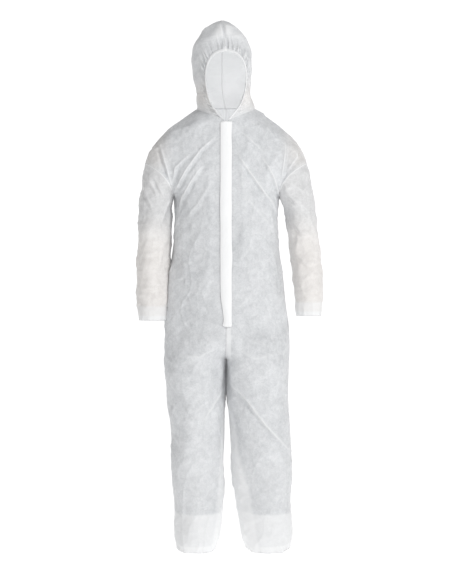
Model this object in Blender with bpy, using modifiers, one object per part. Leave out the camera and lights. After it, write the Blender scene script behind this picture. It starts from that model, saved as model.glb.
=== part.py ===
"""Hooded disposable coverall: a nonwoven chemical protective suit, standing as it is worn.

Metres, +Z up. The suit faces -Y and its wearer's left is +X. The origin is the middle of the neck seam,
where the shoulders hold the suit. Heights below are measured up from the leg hems, and drop() turns one
into a Z. Each cloth panel is an open grid of points, thickened inwards with Solidify.
"""

import math

import bpy
import numpy as np
from mathutils import Vector

# ---- Driving dimensions -------------------------------------------------------------------------
NECK = 1.500  # height of the origin above the leg hems
CLOTH = 0.0015  # panel thickness
SEAM = 0.0008  # half the gap where a front meets a back
CENTRE = 0.0015  # half the gap where a left meets a right
SEAM_DROP = 0.0025  # gap across the neck seam and the armholes

HEM = 0.0
CROTCH = 0.655
FORK = 0.745  # where the rise leaves the centre front and curves in under the body
WAIST = 1.050
UNDERARM = 1.2155
THROAT = 1.463
NECK_SIDE = 1.515
NAPE = 1.530
NECK_HALF = 0.100  # half width of the neck seam
FRONT_AT_THROAT = 0.095  # how far the centre front stands forward there
FRONT_AT_FORK = 0.140
NAPE_DEPTH = 0.085
NECK_SHARE = 0.34  # share of a body panel's upper rows that end on the neck seam

ARMHOLE_TOP = (0.279, 1.325)  # x and height, on the outside of the upper arm
ARMHOLE_BOTTOM = (0.180, UNDERARM)
ARMHOLE_DEPTH = 0.086  # half of the armhole, front to back

ZIP_TOP = 1.449
ZIP_END = 0.775
ZIP_HALF = 0.006  # half the opening between the front edges
TAPE_WIDTH = 0.013
TAPE = 0.0006
COIL_IN, COIL_OUT = 0.0010, 0.0030
COIL_LOW, COIL_HIGH = 0.0006, 0.0024  # heights over the tape's middle plane
TAPE_UNDER = CLOTH + 0.0018  # the tape's middle plane, under the front edges' outer face

SLIDER_AT = ZIP_TOP - 0.0120  # height of the slider's middle, zipped up
SLIDER_HALF = 0.0046
SLIDER_LONG = 0.0062  # half its length
BAR_UP = 0.0049  # the pull tab's axis, over the tape's middle plane

FLAP_TOP = 1.457
FLAP_END = 0.768
FLAP_HALF = 0.0195
FLAP_END_HALF = 0.0135
FLAP_CLEAR = 0.0088  # under the flap's crown, over the tape's middle plane
FLAP_EDGE = 0.0036
FLAP_THICK = 0.0012
FLAP_TAPER = 0.150  # length over which the lower end narrows

ELASTIC = 0.0008
ELASTIC_GAP = 0.0006  # between a flat elastic and the cloth round it
ANKLE_ELASTIC = (0.022, 0.012)  # heights of its two edges
WAIST_ELASTIC = (WAIST + 0.005, WAIST - 0.005)
WRIST_ELASTIC = (0.965, 0.990)  # shares of the sleeve's length
FACE_ELASTIC = 0.0014  # radius of the hood's elastic cord
THREAD = 0.0011  # radius of an overlocked seam's thread bundle
THREAD_GAP = 0.0012
THREAD_IN = CLOTH + THREAD_GAP + THREAD  # from the cloth's outside to the bundle's middle
SPARE = 0.0010  # more room where a bundle runs round a bend
SEAM_ENDS = 0.030  # height where the leg seams' bundles stop, over the ankle elastic

ACROSS = 9  # points across a panel
UPPER_ROWS = 9
TRUNK_ROWS = 11
LEG_ROWS = 11
SLEEVE_ROWS = 13
ROUND = 16  # points round a sleeve


def drop(height):
    """Z of a height above the leg hems."""
    return height - NECK


def curve_through(keys):
    """A smooth function through (place, value) pairs, by cubic Hermite pieces."""
    place, value = (np.array(column, float) for column in zip(*sorted(keys)))
    slope = np.gradient(value, place)

    def at(x):
        x = np.clip(x, place[0], place[-1])
        i = np.clip(np.searchsorted(place, x) - 1, 0, len(place) - 2)
        step = place[i + 1] - place[i]
        t = (x - place[i]) / step
        low = value[i] * (1 + 2 * t) * (1 - t) ** 2 + slope[i] * step * t * (1 - t) ** 2
        high = value[i + 1] * t * t * (3 - 2 * t) + slope[i + 1] * step * t * t * (t - 1)
        return low + high

    return at


def ease(x):
    """0 to 1 with level ends."""
    x = np.clip(x, 0.0, 1.0)
    return x * x * (3 - 2 * x)


def along(points, share):
    """The point a share of the way along a smooth curve through the points."""
    points = np.array(points, float)
    place = np.linspace(0, 1, len(points))
    return np.array([curve_through(list(zip(place, axis)))(share) for axis in points.T])


def bezier(p0, p1, p2, p3, t):
    return p0 * (1 - t) ** 3 + p1 * 3 * t * (1 - t) ** 2 + p2 * 3 * t * t * (1 - t) + p3 * t**3


# ---- Outlines: (height above the hems, half width or depth) -------------------------------------
outer_side = curve_through([
    (0.0, 0.190), (0.04, 0.194), (0.18, 0.1955), (0.35, 0.201), (0.52, 0.204), (0.66, 0.208),
    (0.80, 0.207), (0.90, 0.200), (1.00, 0.187), (1.10, 0.176), (UNDERARM, ARMHOLE_BOTTOM[0]),
])
inner_side = curve_through([
    (0.0, 0.046), (0.04, 0.038), (0.11, 0.029), (0.18, 0.022), (0.35, 0.012), (0.50, 0.005),
    (CROTCH, CENTRE),
])
leg_front = curve_through([(0.0, 0.074), (0.10, 0.080), (0.30, 0.094), (0.50, 0.118), (CROTCH, 0.138)])
leg_back = curve_through([(0.0, 0.084), (0.10, 0.090), (0.30, 0.098), (0.50, 0.112), (CROTCH, 0.130)])
body_back = curve_through([
    (CROTCH, 0.130), (0.80, 0.136), (0.95, 0.122), (1.08, 0.114), (1.22, 0.126), (1.33, 0.130),
    (1.42, 0.120), (1.49, 0.100), (NAPE, NAPE_DEPTH),
])


def body_front(height):
    """The centre front is straight from throat to fork, because the zip is."""
    share = (THROAT - height) / (THROAT - FORK)
    return FRONT_AT_THROAT + (FRONT_AT_FORK - FRONT_AT_THROAT) * share


def depth(height, facing):
    """How far a panel stands out at its middle; facing is -1 for the fronts and 1 for the backs."""
    if facing < 0:
        return float(body_front(height) if height > FORK else
                     leg_front(height) + (body_front(FORK) - leg_front(CROTCH))
                     * ease((height - CROTCH) / (FORK - CROTCH)))
    return float(body_back(height) if height > CROTCH else leg_back(height))


def half_gap(height, facing):
    """Half the gap at the centre: the zip's opening in front, a seam elsewhere."""
    if facing > 0:
        return CENTRE
    return CENTRE + (ZIP_HALF - CENTRE) * float(ease((height - ZIP_END + 0.05) / 0.03))


# ---- Body panels --------------------------------------------------------------------------------
def lower_row(height, facing, count):
    """A level row from the centre or inseam round to the side seam, below the armhole."""
    outside = float(outer_side(height))
    if height > CROTCH:
        lean = float(np.clip((FORK - height) / (FORK - CROTCH), 0, 1))
        inside = half_gap(height, facing)
    else:
        lean = 1.0
        inside = float(inner_side(height))
    middle = (lean * outside + inside) / (1 + lean)
    radius = outside - middle
    start = math.acos(np.clip((inside - middle) / radius, -1, 1))
    angle = np.linspace(start, 0, count)
    x = middle + radius * np.cos(angle)
    y = facing * depth(height, facing) * np.sin(angle) ** 0.92
    return np.column_stack([x, y, np.full(count, drop(height))])


ARM_TOP = np.array([ARMHOLE_TOP[0], 0, drop(ARMHOLE_TOP[1])])
ARM_BOTTOM = np.array([ARMHOLE_BOTTOM[0], 0, drop(ARMHOLE_BOTTOM[1])])
ARM_MIDDLE = (ARM_TOP + ARM_BOTTOM) / 2
ARM_RADIUS = (ARM_TOP - ARM_BOTTOM) / 2
ARM_OUT = np.array([ARM_RADIUS[2], 0, -ARM_RADIUS[0]]) / np.linalg.norm(ARM_RADIUS)


def armhole(turn, facing):
    """A point of the armhole, from its top (0) to the underarm (pi)."""
    return ARM_MIDDLE + ARM_RADIUS * math.cos(turn) + np.array([0, facing * ARMHOLE_DEPTH * math.sin(turn), 0])


def neck_seam(share):
    """The neck seam's left half, from the throat (0) round to the nape (1)."""
    return along([
        (ZIP_HALF, -FRONT_AT_THROAT, drop(THROAT)),
        (0.062, -0.072, drop(1.489)),
        (NECK_HALF, 0.0, drop(NECK_SIDE)),
        (0.066, 0.062, drop(1.527)),
        (CENTRE, NAPE_DEPTH, drop(NAPE)),
    ], share)


def upper_row(share, facing, count):
    """A row from the neck or the centre line out to the armhole; 0 is the shoulder seam."""
    if share < NECK_SHARE:
        part = 0.5 * (1 - share / NECK_SHARE)
        start = neck_seam(part if facing < 0 else 1 - part)
    else:
        top = THROAT if facing < 0 else NAPE
        height = top + (UNDERARM - top) * (share - NECK_SHARE) / (1 - NECK_SHARE)
        start = np.array([half_gap(height, facing), facing * depth(height, facing), drop(height)])
    end = armhole(math.pi * share, facing)
    level = float(ease((share - 0.1) / 0.9))
    leave = np.array([0.082, 0, -0.057]) * (1 - level) + np.array([0.552 * ARMHOLE_BOTTOM[0], 0, 0]) * level
    crown = math.sin(math.pi * min(share / NECK_SHARE, 1))
    leave = leave + np.array([0, facing * 0.02, 0]) * crown
    turn = float(ease((share - 0.45) / 0.55))
    arrive = np.array([0.024, 0, -0.086]) * (1 - turn)
    arrive = arrive + np.array([0, -facing * 0.552 * depth(UNDERARM, facing), 0]) * turn
    t = np.linspace(0, 1, count)[:, None]
    return bezier(start, start + leave, end - arrive, end, t)


def panel_grid(facing):
    """All the rows of one body panel, shoulder to hem, on the wearer's left."""
    rows = [upper_row(s, facing, ACROSS) for s in np.linspace(0, 1, UPPER_ROWS)]
    heights = np.concatenate([
        np.linspace(UNDERARM, CROTCH, TRUNK_ROWS + 1)[1:],
        np.linspace(CROTCH, HEM, LEG_ROWS + 1)[1:],
    ])
    rows += [lower_row(h, facing, ACROSS) for h in heights]
    grid = np.array(rows)
    grid[:, :, 1] += facing * SEAM
    return grid


# ---- Hood ---------------------------------------------------------------------------------------
# Half of the hood as slices from the face edge back to the centre-back seam, each from the neck up.
HOOD_SLICES = [
    [(ZIP_HALF, -FRONT_AT_THROAT, THROAT), (0.034, -0.100, 1.495), (0.054, -0.099, 1.527),
     (0.066, -0.094, 1.577), (0.066, -0.090, 1.625), (0.056, -0.085, 1.662), (0.033, -0.081, 1.687),
     (CENTRE, -0.079, 1.697)],
    [(0.062, -0.072, 1.489), (0.083, -0.062, 1.530), (0.087, -0.054, 1.580), (0.094, -0.048, 1.640),
     (0.093, -0.045, 1.695), (0.071, -0.044, 1.745), (0.033, -0.043, 1.776), (CENTRE, -0.042, 1.789)],
    [(NECK_HALF, 0.000, 1.515), (0.094, 0.004, 1.560), (0.093, 0.008, 1.602), (0.102, 0.012, 1.660),
     (0.100, 0.014, 1.712), (0.077, 0.014, 1.760), (0.040, 0.010, 1.798), (CENTRE, 0.006, 1.822)],
    [(0.066, 0.062, 1.527), (0.071, 0.074, 1.570), (0.079, 0.086, 1.620), (0.086, 0.094, 1.672),
     (0.080, 0.094, 1.722), (0.057, 0.086, 1.766), (0.026, 0.077, 1.793), (CENTRE, 0.070, 1.804)],
    [(CENTRE, NAPE_DEPTH, 1.530), (CENTRE, 0.103, 1.570), (CENTRE, 0.121, 1.620), (CENTRE, 0.132, 1.665),
     (CENTRE, 0.135, 1.705), (CENTRE, 0.129, 1.740), (CENTRE, 0.118, 1.765), (CENTRE, 0.104, 1.784)],
]


def hood_grid(back=9, up=11):
    """The left hood panel: rows run from the face edge back, and columns from the neck up."""
    slices = np.array(HOOD_SLICES, float)
    slices[:, :, 2] = drop(slices[:, :, 2])
    fine = np.array([[along(one, s) for s in np.linspace(0, 1, up)] for one in slices])
    grid = np.array([[along(fine[:, j], s) for j in range(up)] for s in np.linspace(0, 1, back)])
    grid[:, :, 0] = np.maximum(grid[:, :, 0], CENTRE)
    lift = np.linspace(1, 0, up) ** 4
    grid[:, :, 2] += SEAM_DROP * lift
    return grid


# ---- Sleeve -------------------------------------------------------------------------------------
# Height of the section's middle, its x and y, its half width, half depth and tilt from level.
SLEEVE_SECTIONS = [
    (1.2702, 0.2295, 0.000, 0.0736, ARMHOLE_DEPTH, 48),
    (1.205, 0.2400, 0.000, 0.0650, 0.080, 30),
    (1.120, 0.2480, -0.002, 0.0590, 0.074, 10),
    (1.010, 0.2560, -0.008, 0.0570, 0.068, 3),
    (0.900, 0.2625, -0.018, 0.0540, 0.062, 2),
    (0.795, 0.2655, -0.030, 0.0480, 0.052, 0),
]


def sleeve_section(share):
    """Middle, width vector and depth of the sleeve a share of the way down to the wrist."""
    height, x, y, half, deep, tilt = along(SLEEVE_SECTIONS, share)
    tilt = math.radians(tilt)
    middle = np.array([x, y, drop(height)])
    return middle, np.array([half * math.cos(tilt), 0, half * math.sin(tilt)]), deep


def sleeve_grid(rows=SLEEVE_ROWS, around=ROUND, low=0.0, high=1.0, inset=0.0):
    """The left sleeve as closed rings; inset makes a smaller ring, for the elastic inside."""
    rings = []
    for share in np.linspace(low, high, rows):
        middle, wide, deep = sleeve_section(share)
        size = np.linalg.norm(wide)
        wide = wide * (size - inset) / size
        turn = np.linspace(0, 2 * math.pi, around, endpoint=False)
        ring = middle + np.outer(np.cos(turn), wide)
        ring[:, 1] -= (deep - inset) * np.sin(turn)
        rings.append(ring + ARM_OUT * SEAM_DROP * (1 - share) ** 8)
    return np.array(rings)


# ---- Making objects -----------------------------------------------------------------------------
def material(name, colour, roughness, metallic=0.0):
    made = bpy.data.materials.new(name)
    made.use_nodes = True
    shader = made.node_tree.nodes["Principled BSDF"]
    shader.inputs["Base Color"].default_value = (*colour, 1)
    shader.inputs["Roughness"].default_value = roughness
    shader.inputs["Metallic"].default_value = metallic
    return made


def place(obj, finish, parent=None):
    """Puts an object in the suit's collection with its material, under its joint's empty."""
    SUIT.objects.link(obj)
    obj.data.materials.append(finish)
    if parent:
        bpy.context.view_layer.update()
        obj.parent = parent
        obj.matrix_parent_inverse = parent.matrix_world.inverted()
    return obj


def mirrored(points, side):
    """The wearer's left is modelled; side -1 gives the right."""
    return np.array(points, float) * np.array([side, 1, 1])


def sheet(name, grid, finish, outward, thickness=CLOTH, closed=False, parent=None):
    """A grid of points as a thin shell. outward is a direction its middle faces; a closed grid joins its ends."""
    rows, columns = grid.shape[:2]
    ends = columns if closed else columns - 1
    faces = [
        (i * columns + j, i * columns + (j + 1) % columns, (i + 1) * columns + (j + 1) % columns,
         (i + 1) * columns + j)
        for i in range(rows - 1) for j in range(ends)
    ]
    mesh = bpy.data.meshes.new(name)
    mesh.from_pydata([tuple(p) for p in grid.reshape(-1, 3)], [], faces)
    middle = mesh.polygons[(rows - 1) // 2 * ends + (0 if closed else ends // 2)]
    if middle.normal.dot(Vector(outward)) < 0:
        mesh.flip_normals()
    mesh.shade_smooth()
    obj = place(bpy.data.objects.new(name, mesh), finish, parent)
    shell = obj.modifiers.new("thickness", "SOLIDIFY")
    shell.thickness = thickness
    shell.offset = -1
    return obj


def thread(name, points, finish, radius=THREAD, closed=False, parent=None):
    """A thread bundle or round elastic along the points, as a curve with a bevel."""
    line = bpy.data.curves.new(name, "CURVE")
    line.dimensions = "3D"
    line.bevel_depth = radius
    line.bevel_resolution = 0
    line.use_fill_caps = not closed
    spline = line.splines.new("POLY")
    spline.points.add(len(points) - 1)
    for point, place_at in zip(spline.points, points):
        point.co = (*place_at, 1)
    spline.use_cyclic_u = closed
    return place(bpy.data.objects.new(name, line), finish, parent)


def joint_empty(name, spot):
    """An empty on a joint's axis; what it carries moves with it."""
    empty = bpy.data.objects.new(name, None)
    empty.location = spot
    SUIT.objects.link(empty)
    return empty


def under(grid, depth_in):
    """A grid moved along its own normals, to the side of it that faces the head."""
    down, across = np.gradient(grid, axis=0), np.gradient(grid, axis=1)
    normal = np.cross(across, down)
    normal /= np.linalg.norm(normal, axis=2)[:, :, None]
    head = np.array([0, 0.01, drop(1.66)])
    facing = np.sign((normal * (grid - head)).sum(axis=2))[:, :, None]
    return grid - normal * facing * depth_in


def inwards(points, towards, distance):
    """Points moved a distance towards a matching line of inner points."""
    points, towards = np.array(points, float), np.array(towards, float)
    way = towards - points
    return points + way / np.linalg.norm(way, axis=1)[:, None] * distance


# ---- The zip's own frame: x across, down along the zip, up away from the body -------------------
ZIP_DOWN = Vector((0, -body_front(FORK), drop(FORK))) - Vector((0, -body_front(THROAT), drop(THROAT)))
ZIP_DOWN.normalize()
ZIP_UP = ZIP_DOWN.cross(Vector((1, 0, 0))).normalized()


def zip_point(x, height, up):
    """A point by its place across, its height above the hems and its level over the tape."""
    on_line = Vector((x, -body_front(height) - SEAM, drop(height)))
    return on_line + ZIP_UP * (up - TAPE_UNDER)


def zip_bar(name, low_x, high_x, low_height, high_height, low_up, high_up, finish, parent=None):
    """A straight bar along the zip, as a primitive cube laid in the zip's frame."""
    bpy.ops.mesh.primitive_cube_add(size=1)
    obj = bpy.context.object
    obj.name = name
    for corner in obj.data.vertices:
        x = low_x if corner.co.x < 0 else high_x
        height = low_height if corner.co.z < 0 else high_height
        up = high_up if corner.co.y < 0 else low_up
        corner.co = zip_point(x, height, up)
    for collection in obj.users_collection:
        collection.objects.unlink(obj)
    return place(obj, finish, parent)


# ---- Sub-assemblies -----------------------------------------------------------------------------
SIDES = (("left", 1), ("right", -1))


def make_body():
    for side_name, side in SIDES:
        for name, facing in (("front", -1), ("back", 1)):
            sheet(f"{name}_panel_{side_name}", mirrored(panel_grid(facing), side), CLOTH_WHITE,
                  (side * 0.5, facing, 0))


def make_body_seams():
    """Overlocked thread bundles, inside each seam of the body."""
    leg_middle = 0.10
    for side_name, side in SIDES:
        heights = np.linspace(UNDERARM - 0.02, SEAM_ENDS, 24)
        seam = [(float(outer_side(h)), 0, drop(h)) for h in heights]
        line = inwards(seam, [(leg_middle, 0, drop(h)) for h in heights], THREAD_IN)
        thread(f"side_seam_overlock_{side_name}", mirrored(line, side), THREAD_WHITE)
        heights = np.linspace(CROTCH - 0.02, SEAM_ENDS, 18)
        seam = [(float(inner_side(h)), 0, drop(h)) for h in heights]
        line = inwards(seam, [(leg_middle, 0, drop(h)) for h in heights], THREAD_IN)
        thread(f"inseam_overlock_{side_name}", mirrored(line, side), THREAD_WHITE)
        ring = [armhole(turn, -1) for turn in np.linspace(0, 2 * math.pi, 24, endpoint=False)]
        ring = inwards(ring, [ARM_MIDDLE] * len(ring), THREAD_IN + SPARE) - ARM_OUT * 4 * SPARE
        thread(f"armhole_overlock_{side_name}", mirrored(ring, side), THREAD_WHITE, closed=True)
        seam = upper_row(0.0, -1, 25)[2:-2:3]
        line = seam - [CLOTH, 0, THREAD_IN + SPARE]
        thread(f"shoulder_seam_overlock_{side_name}", mirrored(line, side), THREAD_WHITE)
    heights = np.linspace(NAPE - 0.02, FORK, 20)
    seam = np.array([(0, depth(h, 1) + SEAM, drop(h)) for h in heights])
    thread("centre_back_overlock", seam - [0, THREAD_IN + SPARE, 0], THREAD_WHITE)
    half = np.array([neck_seam(share) for share in np.linspace(0.10, 1.0, 12)])
    around = np.concatenate([half, mirrored(half[::-1][1:], -1)])
    middle = [(0, 0, p[2]) for p in around]
    line = inwards(around, middle, THREAD_IN + 3 * SPARE) - [0, 0, 4 * SPARE]
    thread("neck_seam_overlock", line, THREAD_WHITE)


def make_zip(slider_joint, tab_joint):
    for side_name, side in SIDES:
        edges = sorted((side * COIL_IN, side * TAPE_WIDTH))
        zip_bar(f"zip_tape_{side_name}", *edges, ZIP_END, ZIP_TOP, -TAPE / 2, TAPE / 2, TAPE_WHITE)
        edges = sorted((side * COIL_IN, side * COIL_OUT))
        zip_bar(f"zip_coil_{side_name}", *edges, ZIP_END + 0.004, ZIP_TOP - 0.004, COIL_LOW, COIL_HIGH,
                NYLON_WHITE)
        edges = sorted((side * COIL_IN, side * (COIL_OUT + 0.0004)))
        zip_bar(f"zip_top_stop_{side_name}", *edges, ZIP_TOP - 0.0036, ZIP_TOP - 0.0006, COIL_LOW,
                COIL_HIGH + 0.0002, NYLON_WHITE)
    zip_bar("zip_bottom_stop", -0.0036, 0.0036, ZIP_END + 0.0004, ZIP_END + 0.0036, COIL_LOW,
            COIL_HIGH + 0.0004, NYLON_WHITE)
    make_slider(slider_joint)
    make_tab(tab_joint)


def slider_box(x_range, low, high, low_up, high_up):
    """A block of the slider by its span across, along and over the tape."""
    return zip_bar("block", *x_range, SLIDER_AT + low, SLIDER_AT + high, low_up, high_up, NYLON_WHITE)


def joined(name, parts, finish, parent):
    """Blocks that overlap, made one body with Boolean unions."""
    first = parts[0]
    for other in parts[1:]:
        cut = first.modifiers.new("union", "BOOLEAN")
        cut.operation = "UNION"
        cut.solver = "EXACT"
        cut.object = other
    bpy.context.view_layer.update()
    graph = bpy.context.evaluated_depsgraph_get()
    mesh = bpy.data.meshes.new_from_object(first.evaluated_get(graph))
    mesh.transform(first.matrix_world)
    mesh.name = name
    for obj in parts:
        bpy.data.objects.remove(obj)
    obj = bpy.data.objects.new(name, mesh)
    mesh.materials.clear()
    return place(obj, finish, parent)


def make_slider(joint):
    """Two plates held apart by a post between the coils, with lips over the tapes and a bridge on top."""
    plate, post, bridge = (-SLIDER_HALF, SLIDER_HALF), (-0.0006, 0.0006), (-0.0007, 0.0007)
    parts = [
        slider_box(plate, -SLIDER_LONG, SLIDER_LONG, 0.0028, 0.0038),
        slider_box(plate, -SLIDER_LONG, SLIDER_LONG, -0.0019, -0.0007),
        slider_box(post, 0.0022, 0.0056, -0.0010, 0.0031),
        slider_box(bridge, -0.0050, -0.0038, 0.0035, 0.0068),
        slider_box(bridge, 0.0038, 0.0050, 0.0035, 0.0068),
        slider_box(bridge, -0.0050, 0.0050, 0.0058, 0.0070),
    ]
    for side in (-1, 1):
        lip = sorted((side * 0.0036, side * 0.0044))
        parts.append(slider_box(lip, -0.0060, 0.0060, 0.0009, 0.0031))
    joined("zip_slider", parts, NYLON_WHITE, joint)


def make_tab(joint):
    """The pull tab: a flat ring round the slider's bridge, with a grip hanging from it."""
    thick = 0.0010
    across = (-0.0030, -0.0018, 0.0018, 0.0030)
    down = (SLIDER_AT + thick / 2, SLIDER_AT - thick / 2, SLIDER_AT - 0.0066, SLIDER_AT - 0.0240)
    corners = [zip_point(x, height, BAR_UP + thick / 2) for height in down for x in across]
    wide, window = len(across), (1, 1)  # the square left open for the bridge
    squares = [
        (wide * i + j, wide * (i + 1) + j, wide * (i + 1) + j + 1, wide * i + j + 1)
        for i in range(len(down) - 1) for j in range(wide - 1) if (i, j) != window
    ]
    mesh = bpy.data.meshes.new("zip_pull_tab")
    mesh.from_pydata(corners, [], squares)
    obj = place(bpy.data.objects.new("zip_pull_tab", mesh), NYLON_WHITE, joint)
    shell = obj.modifiers.new("thickness", "SOLIDIFY")
    shell.thickness = thick
    shell.offset = -1


def flap_half(height):
    """Half width of the storm flap, narrowing at its lower end."""
    return FLAP_END_HALF + (FLAP_HALF - FLAP_END_HALF) * float(ease((height - FLAP_END) / FLAP_TAPER))


def make_flap(joint):
    """The storm flap: a crowned strip over the zip, sewn along the wearer's left."""
    rows = []
    for height in np.linspace(FLAP_TOP, FLAP_END, 13):
        half = flap_half(height)
        across = np.linspace(-1, 1, 9)
        up = FLAP_EDGE + (FLAP_CLEAR - FLAP_EDGE) * np.cos(across * math.pi / 2) ** 0.6
        centre = FLAP_HALF - half
        rows.append([zip_point(centre + half * a, height, u + FLAP_THICK) for a, u in zip(across, up)])
    sheet("storm_flap", np.array(rows, float), FLAP_WHITE, (0, -1, 0), FLAP_THICK, parent=joint)


def make_hood(joint):
    grid = hood_grid()
    for side_name, side in SIDES:
        sheet(f"hood_panel_{side_name}", mirrored(grid, side), CLOTH_WHITE, (side, 0, 0), parent=joint)
    fine = hood_grid(back=33, up=23)
    within = under(fine, THREAD_IN + SPARE)
    seam = np.concatenate([within[4:-2, -1], within[-1, 2:-2][::-1]])[::2]
    seam[:, 0] = 0
    thread("hood_centre_overlock", seam, THREAD_WHITE, parent=joint)
    face = under(fine, CLOTH + THREAD_GAP + FACE_ELASTIC + SPARE)[3, 2:]
    face = face[face[:, 0] > 0.003]
    loop = np.concatenate([face, mirrored(face[::-1], -1)])
    thread("face_elastic", loop, ELASTIC_WHITE, radius=FACE_ELASTIC, parent=joint)


def make_sleeves(joints):
    for (side_name, side), joint in zip(SIDES, joints):
        sheet(f"sleeve_{side_name}", mirrored(sleeve_grid(), side), CLOTH_WHITE, (side, 0, 0), closed=True,
              parent=joint)
        cuff = sleeve_grid(2, ROUND, *WRIST_ELASTIC, inset=CLOTH + ELASTIC_GAP)
        sheet(f"wrist_elastic_{side_name}", mirrored(cuff, side), ELASTIC_WHITE, (side, 0, 0), ELASTIC,
              closed=True, parent=joint)
        outer, inner = sleeve_grid(rows=14, around=2, low=0.06, high=0.94).swapaxes(0, 1)
        line = inwards(inner, outer, THREAD_IN)
        thread(f"sleeve_seam_overlock_{side_name}", mirrored(line, side), THREAD_WHITE, parent=joint)


def leg_ring(height, inset):
    """A closed ring just inside the leg at this height."""
    front, back = lower_row(height, -1, 9), lower_row(height, 1, 9)
    ring = np.concatenate([front, back[::-1][1:-1]])
    middle = ring.mean(0)
    return middle + (ring - middle) * (1 - inset / (np.linalg.norm(ring - middle, axis=1)[:, None]))


def make_elastics():
    for side_name, side in SIDES:
        rings = np.array([leg_ring(h, CLOTH + ELASTIC_GAP + 1.6 * SPARE) for h in ANKLE_ELASTIC])
        sheet(f"ankle_elastic_{side_name}", mirrored(rings, side), ELASTIC_WHITE, (side, 0, 0), ELASTIC,
              closed=True)
    rows = []
    for height in WAIST_ELASTIC:
        row = lower_row(height, 1, 13)[:-1]
        row[:, 1] -= THREAD_IN + THREAD + SPARE
        row[:, 0] *= 0.975
        rows.append(np.concatenate([mirrored(row[::-1], -1), row]))
    sheet("waist_elastic", np.array(rows), ELASTIC_WHITE, (0, 1, 0), ELASTIC)


# ---- Build --------------------------------------------------------------------------------------
for old in list(bpy.data.objects):
    bpy.data.objects.remove(old)
SUIT = bpy.data.collections.new("protective_coverall")
bpy.context.scene.collection.children.link(SUIT)

CLOTH_WHITE = material("nonwoven", (0.80, 0.81, 0.82), 0.75)
FLAP_WHITE = material("flap_nonwoven", (0.92, 0.93, 0.94), 0.65)
THREAD_WHITE = material("overlock_thread", (0.93, 0.93, 0.93), 0.6)
ELASTIC_WHITE = material("elastic", (0.90, 0.90, 0.88), 0.7)
TAPE_WHITE = material("zip_tape", (0.88, 0.88, 0.88), 0.7)
NYLON_WHITE = material("zip_nylon", (0.90, 0.90, 0.89), 0.35)

hood_joint = joint_empty("hood_joint", (0, NAPE_DEPTH, drop(NAPE)))
sleeve_joints = [joint_empty(f"sleeve_joint_{name}", (side * ARMHOLE_TOP[0], 0, drop(ARMHOLE_TOP[1])))
                 for name, side in SIDES]
flap_joint = joint_empty("flap_joint", zip_point(FLAP_HALF, ZIP_TOP, FLAP_EDGE))
slider_joint = joint_empty("slider_joint", zip_point(0, SLIDER_AT, 0))
tab_joint = joint_empty("tab_joint", zip_point(0, SLIDER_AT, BAR_UP))

make_body()
make_body_seams()
make_elastics()
make_zip(slider_joint, tab_joint)
make_flap(flap_joint)
make_hood(hood_joint)
make_sleeves(sleeve_joints)
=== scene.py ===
"""Looks of a hooded disposable nonwoven coverall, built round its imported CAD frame.

Metres, +Z up, in the CAD's frame: the suit faces -Y and its wearer's left is +X. Each panel follows the
outline of its CAD shell, on a finer grid, and its folds, gathers and creases move it along its normals.
Heights are measured up from the leg hems.
"""

import math
import bpy
import numpy as np
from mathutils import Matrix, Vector


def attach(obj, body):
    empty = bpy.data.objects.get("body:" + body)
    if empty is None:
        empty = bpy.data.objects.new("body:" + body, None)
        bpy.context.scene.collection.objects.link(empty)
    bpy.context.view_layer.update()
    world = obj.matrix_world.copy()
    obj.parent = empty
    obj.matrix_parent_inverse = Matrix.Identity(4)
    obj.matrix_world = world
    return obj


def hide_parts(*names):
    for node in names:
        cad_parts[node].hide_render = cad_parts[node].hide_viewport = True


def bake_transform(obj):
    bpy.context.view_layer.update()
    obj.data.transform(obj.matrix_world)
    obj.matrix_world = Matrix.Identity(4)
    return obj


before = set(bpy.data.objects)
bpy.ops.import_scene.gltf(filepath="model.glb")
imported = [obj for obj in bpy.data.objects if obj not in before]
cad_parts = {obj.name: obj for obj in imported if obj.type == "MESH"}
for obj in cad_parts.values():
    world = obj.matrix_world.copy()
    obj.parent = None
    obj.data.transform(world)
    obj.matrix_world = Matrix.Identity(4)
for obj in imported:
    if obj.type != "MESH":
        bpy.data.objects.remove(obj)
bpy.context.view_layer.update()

# ---- Driving dimensions, as in the CAD ----------------------------------------------------------
NECK = 1.500  # height of the frame's origin
CLOTH = 0.0005  # thickness
HEM, CROTCH, FORK, UNDERARM = 0.0, 0.655, 0.745, 1.2155
THROAT, NECK_SIDE, NAPE = 1.463, 1.515, 1.530
NECK_HALF = 0.100
FRONT_AT_THROAT, FRONT_AT_FORK, NAPE_DEPTH = 0.095, 0.140, 0.085
ARMHOLE_TOP, ARMHOLE_BOTTOM, ARMHOLE_DEPTH = (0.279, 1.325), (0.180, UNDERARM), 0.086
ZIP_TOP, ZIP_END, ZIP_HALF = 1.449, 0.775, 0.006
TAPE_WIDTH, TAPE_UNDER = 0.013, 0.0033
FLAP_TOP, FLAP_END, FLAP_HALF, FLAP_END_HALF, FLAP_TAPER = 1.457, 0.768, 0.0195, 0.0135, 0.150
FLAP_CLEAR, FLAP_EDGE = 0.0088, 0.0036
WAIST = 1.050
SIDES = (("left", 1), ("right", -1))

ACROSS = 120  # columns of a body panel
UPPER_ROWS, LOWER_ROWS = 100, 300


def drop(height):
    """Z of a height above the leg hems."""
    return height - NECK


def curve_through(keys):
    """A smooth function through (place, value) pairs, by cubic Hermite pieces."""
    place, value = (np.array(column, float) for column in zip(*sorted(keys)))
    slope = np.gradient(value, place)

    def at(x):
        x = np.clip(x, place[0], place[-1])
        i = np.clip(np.searchsorted(place, x) - 1, 0, len(place) - 2)
        step = place[i + 1] - place[i]
        t = (x - place[i]) / step
        low = value[i] * (1 + 2 * t) * (1 - t) ** 2 + slope[i] * step * t * (1 - t) ** 2
        high = value[i + 1] * t * t * (3 - 2 * t) + slope[i + 1] * step * t * t * (t - 1)
        return low + high

    return at


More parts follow.
